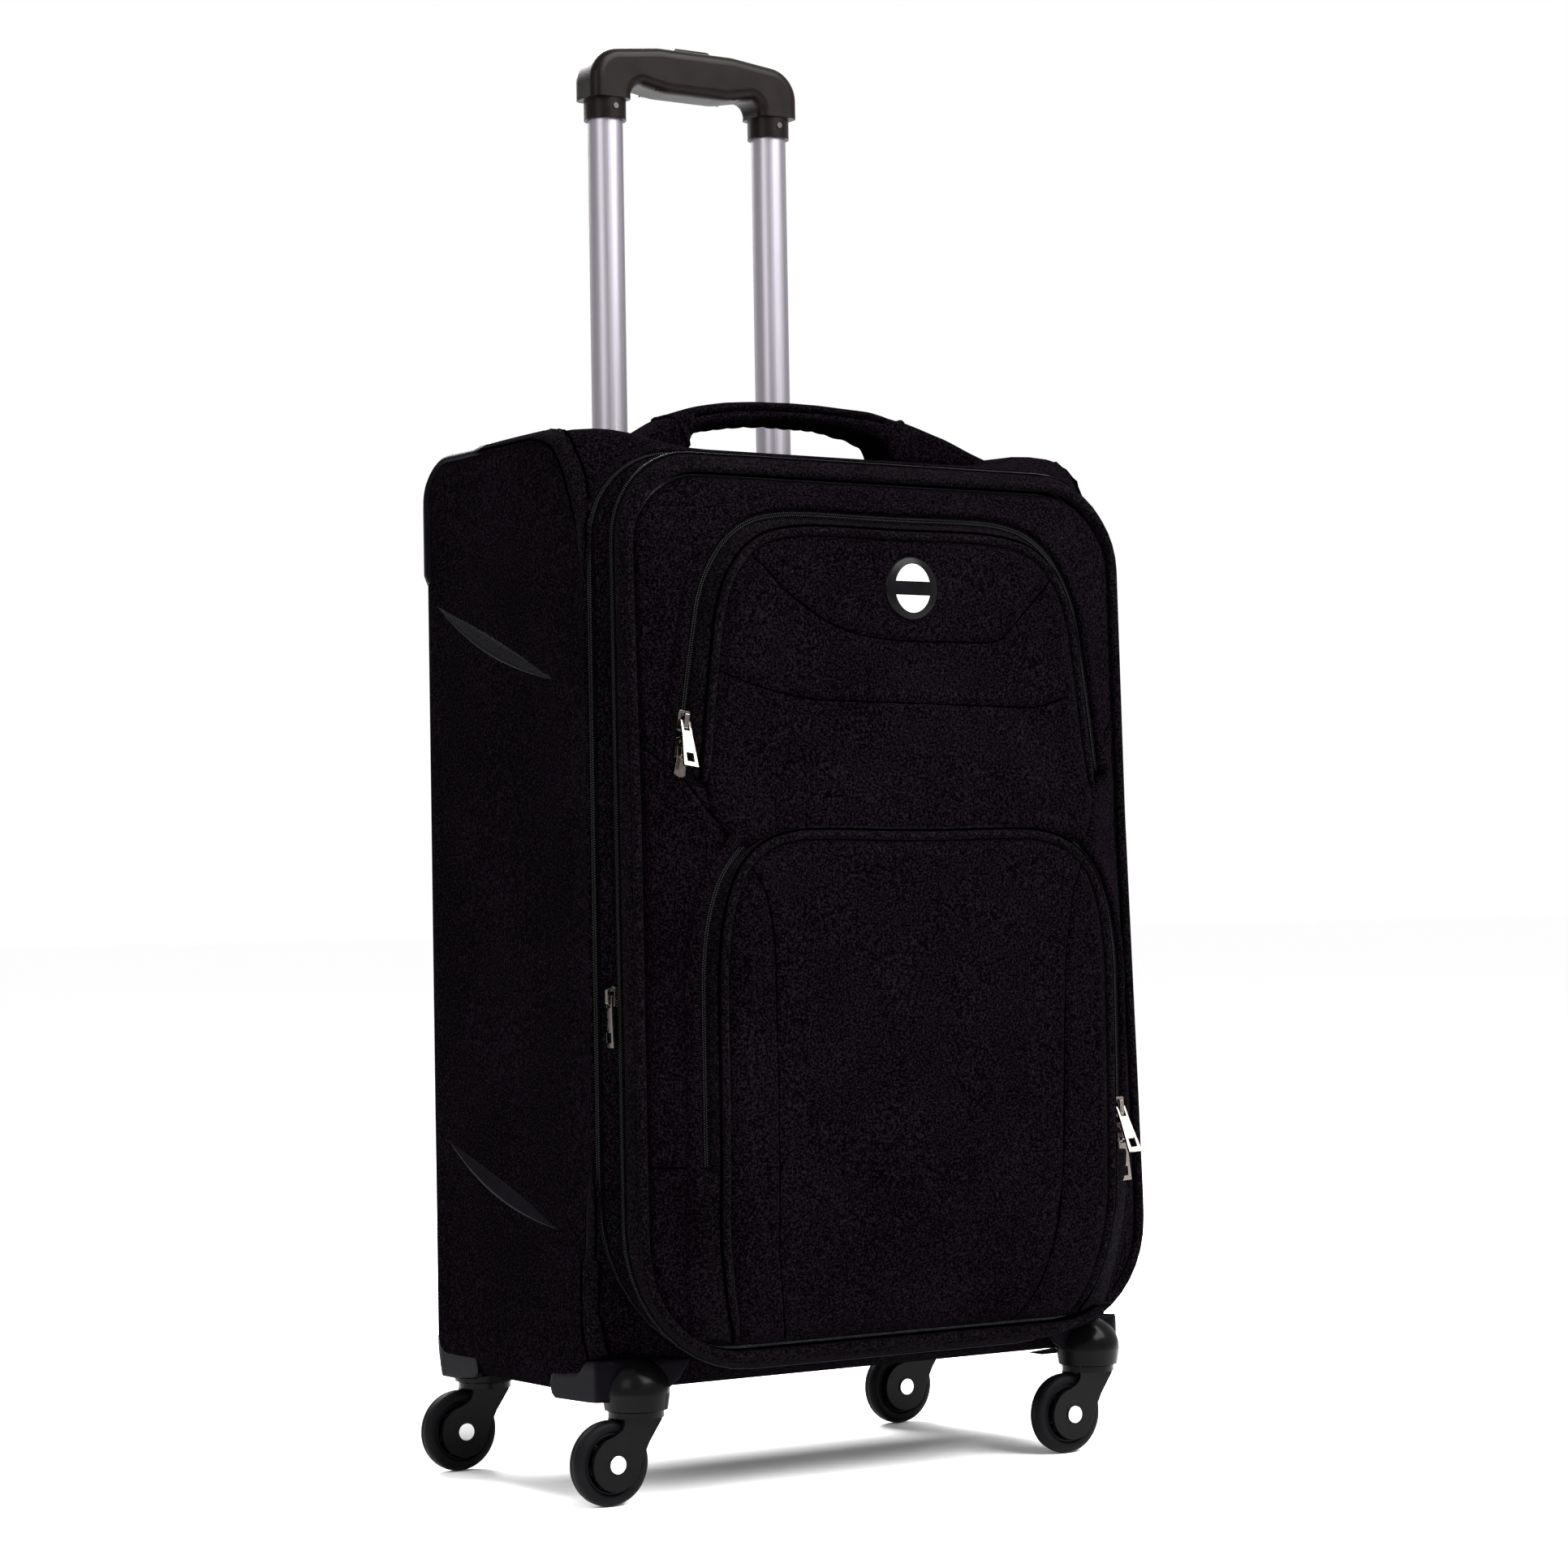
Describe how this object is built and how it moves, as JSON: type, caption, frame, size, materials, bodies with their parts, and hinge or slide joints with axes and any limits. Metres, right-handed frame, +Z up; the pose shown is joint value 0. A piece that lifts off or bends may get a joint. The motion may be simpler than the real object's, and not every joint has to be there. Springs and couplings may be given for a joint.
{
  "type": "softside upright suitcase",
  "caption": "Upright fabric suitcase with a zipped opening lid, front pockets, an expansion band, a telescopic trolley handle and swivel casters.",
  "frame": {"origin": "centre of the footprint's bounding box, on the floor under the casters", "axes": "+Z up, along the case's height; -Y the front, with the pockets; +X the right-hand side seen from the front"},
  "size_m": [0.428, 0.2884, 0.9475],
  "materials": {
    "black_shell_fabric": "woven polyester, matt with a slight nap",
    "grey_lining": "thin woven lining",
    "stiff_inner_plastic": "extruded edge board, matt",
    "black_zipper": "coil zipper on woven tape",
    "satin_black_moulding": "satin moulded plastic",
    "gloss_black_plastic": "semi-gloss moulded nylon",
    "black_tyre": "smooth polyurethane tyre on a moulded hub",
    "bright_axle": "bright zinc-plated steel",
    "grip_plastic": "satin moulding with fine ribs under the hand",
    "dark_screws": "blackened steel",
    "silver_tube": "silver anodised, finely drawn",
    "bright_zipper_metal": "nickel-plated zinc",
    "badge_plastic": "glossy black disc with a pale oval"
  },
  "bodies": {
    "case": {"side_panel_left": "black_shell_fabric", "side_panel_right": "black_shell_fabric", "top_panel": "black_shell_fabric", "back_panel": "black_shell_fabric", "bottom_panel": "black_shell_fabric", "opening_frame": "stiff_inner_plastic", "main_zipper": "black_zipper", "base_tray": "stiff_inner_plastic", "lining": "grey_lining", "carry_handle": "black_shell_fabric", "trolley_cup": "satin_black_moulding", "outer_tubes": "silver_tube", "trolley_foot": "satin_black_moulding", "top_corner_guards": "satin_black_moulding", "side_fins": "satin_black_moulding", "caster_housings": "gloss_black_plastic", "corner_guard_front_left": "satin_black_moulding", "corner_guard_front_right": "satin_black_moulding", "corner_guard_rear_left": "satin_black_moulding", "corner_guard_rear_right": "satin_black_moulding"},
    "lid_frame": {"lid_gusset": "black_shell_fabric", "expansion_zipper": "black_zipper", "expansion_gusset": "black_shell_fabric"},
    "lid_front": {"lid_panel": "black_shell_fabric", "upper_pocket": "black_shell_fabric", "lower_pocket": "black_shell_fabric", "pocket_zippers": "black_zipper", "badge": "badge_plastic"},
    "lower_stage": {"lower_stage_tubes": "silver_tube"},
    "upper_stage": {"upper_stage_tubes": "silver_tube", "grip": "grip_plastic", "grip_screws": "dark_screws"},
    "button": {"grip_button": "grip_plastic", "lock_linkage": "satin_black_moulding"},
    "caster_front_left": {"caster_fork_front_left": "gloss_black_plastic", "caster_axle_front_left": "bright_axle"},
    "wheel_front_left": {"caster_wheel_front_left": "black_tyre"},
    "caster_front_right": {"caster_fork_front_right": "gloss_black_plastic", "caster_axle_front_right": "bright_axle"},
    "wheel_front_right": {"caster_wheel_front_right": "black_tyre"},
    "caster_rear_left": {"caster_fork_rear_left": "gloss_black_plastic", "caster_axle_rear_left": "bright_axle"},
    "wheel_rear_left": {"caster_wheel_rear_left": "black_tyre"},
    "caster_rear_right": {"caster_fork_rear_right": "gloss_black_plastic", "caster_axle_rear_right": "bright_axle"},
    "wheel_rear_right": {"caster_wheel_rear_right": "black_tyre"},
    "slider_upper_pocket_1": {"slider_upper_pocket_1": "bright_zipper_metal"},
    "pull_upper_pocket_1": {"pull_upper_pocket_1": "bright_zipper_metal"},
    "slider_upper_pocket_2": {"slider_upper_pocket_2": "bright_zipper_metal"},
    "pull_upper_pocket_2": {"pull_upper_pocket_2": "bright_zipper_metal"},
    "slider_lower_pocket_1": {"slider_lower_pocket_1": "bright_zipper_metal"},
    "pull_lower_pocket_1": {"pull_lower_pocket_1": "bright_zipper_metal"},
    "slider_lower_pocket_2": {"slider_lower_pocket_2": "bright_zipper_metal"},
    "pull_lower_pocket_2": {"pull_lower_pocket_2": "bright_zipper_metal"},
    "slider_main_1": {"slider_main_1": "bright_zipper_metal"},
    "pull_main_1": {"pull_main_1": "bright_zipper_metal"},
    "slider_main_2": {"slider_main_2": "bright_zipper_metal"},
    "pull_main_2": {"pull_main_2": "bright_zipper_metal"},
    "slider_expansion": {"slider_expansion": "bright_zipper_metal"},
    "pull_expansion": {"pull_expansion": "bright_zipper_metal"}
  },
  "joints": [
    {"name": "lid_hinge", "type": "hinge", "parent": "case", "child": "lid_frame", "pos_m": [0.209, -0.0761, 0.36], "axis": [0, 0, 1], "range_deg": [0, 165]},
    {"name": "expansion", "type": "slide", "parent": "lid_frame", "child": "lid_front", "axis": [0, -1, 0], "range_m": [0, 0.045], "deforming": ["expansion_gusset"]},
    {"name": "lower_stage_slide", "type": "slide", "parent": "case", "child": "lower_stage", "axis": [0, 0, 1], "range_m": [0, 0.2]},
    {"name": "upper_stage_slide", "type": "slide", "parent": "lower_stage", "child": "upper_stage", "axis": [0, 0, 1], "range_m": [-0.232, 0]},
    {"name": "button_press", "type": "slide", "parent": "upper_stage", "child": "button", "axis": [0, 0, -1], "range_m": [0, 0.004], "stiffness_N_per_m": 400, "springref_m": -0.004},
    {"name": "swivel_front_left", "type": "hinge", "parent": "case", "child": "caster_front_left", "pos_m": [-0.168, -0.0735, 0.06], "axis": [0, 0, 1], "continuous": true},
    {"name": "roll_front_left", "type": "hinge", "parent": "caster_front_left", "child": "wheel_front_left", "pos_m": [-0.188, -0.0735, 0.026], "axis": [0, 1, 0], "continuous": true},
    {"name": "swivel_front_right", "type": "hinge", "parent": "case", "child": "caster_front_right", "pos_m": [0.18, -0.0735, 0.06], "axis": [0, 0, 1], "continuous": true},
    {"name": "roll_front_right", "type": "hinge", "parent": "caster_front_right", "child": "wheel_front_right", "pos_m": [0.16, -0.0735, 0.026], "axis": [0, 1, 0], "continuous": true},
    {"name": "swivel_rear_left", "type": "hinge", "parent": "case", "child": "caster_rear_left", "pos_m": [-0.168, 0.1165, 0.06], "axis": [0, 0, 1], "continuous": true},
    {"name": "roll_rear_left", "type": "hinge", "parent": "caster_rear_left", "child": "wheel_rear_left", "pos_m": [-0.188, 0.1165, 0.026], "axis": [0, 1, 0], "continuous": true},
    {"name": "swivel_rear_right", "type": "hinge", "parent": "case", "child": "caster_rear_right", "pos_m": [0.18, 0.1165, 0.06], "axis": [0, 0, 1], "continuous": true},
    {"name": "roll_rear_right", "type": "hinge", "parent": "caster_rear_right", "child": "wheel_rear_right", "pos_m": [0.16, 0.1165, 0.026], "axis": [0, 1, 0], "continuous": true},
    {"name": "slide_upper_pocket_2", "type": "slide", "parent": "lid_front", "child": "slider_upper_pocket_2", "axis": [0.1439, 0, 0.9896], "range_m": [0, 0.035]},
    {"name": "slide_upper_pocket_1", "type": "slide", "parent": "slider_upper_pocket_2", "child": "slider_upper_pocket_1", "axis": [0.1439, 0, 0.9896], "range_m": [0, 0.035]},
    {"name": "swing_upper_pocket_2", "type": "hinge", "parent": "slider_upper_pocket_2", "child": "pull_upper_pocket_2", "pos_m": [-0.15247, -0.1136, 0.45767], "axis": [-0.9896, 0, 0.1439], "range_deg": [0, 20]},
    {"name": "swing_upper_pocket_1", "type": "hinge", "parent": "slider_upper_pocket_1", "child": "pull_upper_pocket_1", "pos_m": [-0.1501, -0.1136, 0.474], "axis": [-0.9896, 0, 0.1439], "range_deg": [0, 136]},
    {"name": "slide_lower_pocket_2", "type": "slide", "parent": "lid_front", "child": "slider_lower_pocket_2", "axis": [-0.0605, 0, 0.9982], "range_m": [0, 0.06]},
    {"name": "slide_lower_pocket_1", "type": "slide", "parent": "slider_lower_pocket_2", "child": "slider_lower_pocket_1", "axis": [-0.0605, 0, 0.9982], "range_m": [0, 0.06]},
    {"name": "swing_lower_pocket_2", "type": "hinge", "parent": "slider_lower_pocket_2", "child": "pull_lower_pocket_2", "pos_m": [0.1668, -0.1306, 0.21153], "axis": [-0.9982, 0, -0.0605], "range_deg": [0, 20]},
    {"name": "swing_lower_pocket_1", "type": "hinge", "parent": "slider_lower_pocket_1", "child": "pull_lower_pocket_1", "pos_m": [0.1658, -0.1306, 0.228], "axis": [-0.9982, 0, -0.0605], "range_deg": [0, 136]},
    {"name": "slide_main_2", "type": "slide", "parent": "lid_frame", "child": "slider_main_2", "axis": [0, 0, 1], "range_m": [-0.06, 0.01]},
    {"name": "slide_main_1", "type": "slide", "parent": "slider_main_2", "child": "slider_main_1", "axis": [0, 0, 1], "range_m": [0, 0.3]},
    {"name": "swing_main_2", "type": "hinge", "parent": "slider_main_2", "child": "pull_main_2", "pos_m": [0.2007, -0.0811, 0.2335], "axis": [0, -1, 0], "range_deg": [0, 20]},
    {"name": "swing_main_1", "type": "hinge", "parent": "slider_main_1", "child": "pull_main_1", "pos_m": [0.2007, -0.0811, 0.25], "axis": [0, -1, 0], "range_deg": [0, 136]},
    {"name": "slide_expansion", "type": "slide", "parent": "lid_frame", "child": "slider_expansion", "axis": [0, 0, 1], "range_m": [-0.12, 0.2]},
    {"name": "swing_expansion", "type": "hinge", "parent": "slider_expansion", "child": "pull_expansion", "pos_m": [-0.1887, -0.0839, 0.308], "axis": [0, 1, 0], "range_deg": [0, 175]}
  ]
}
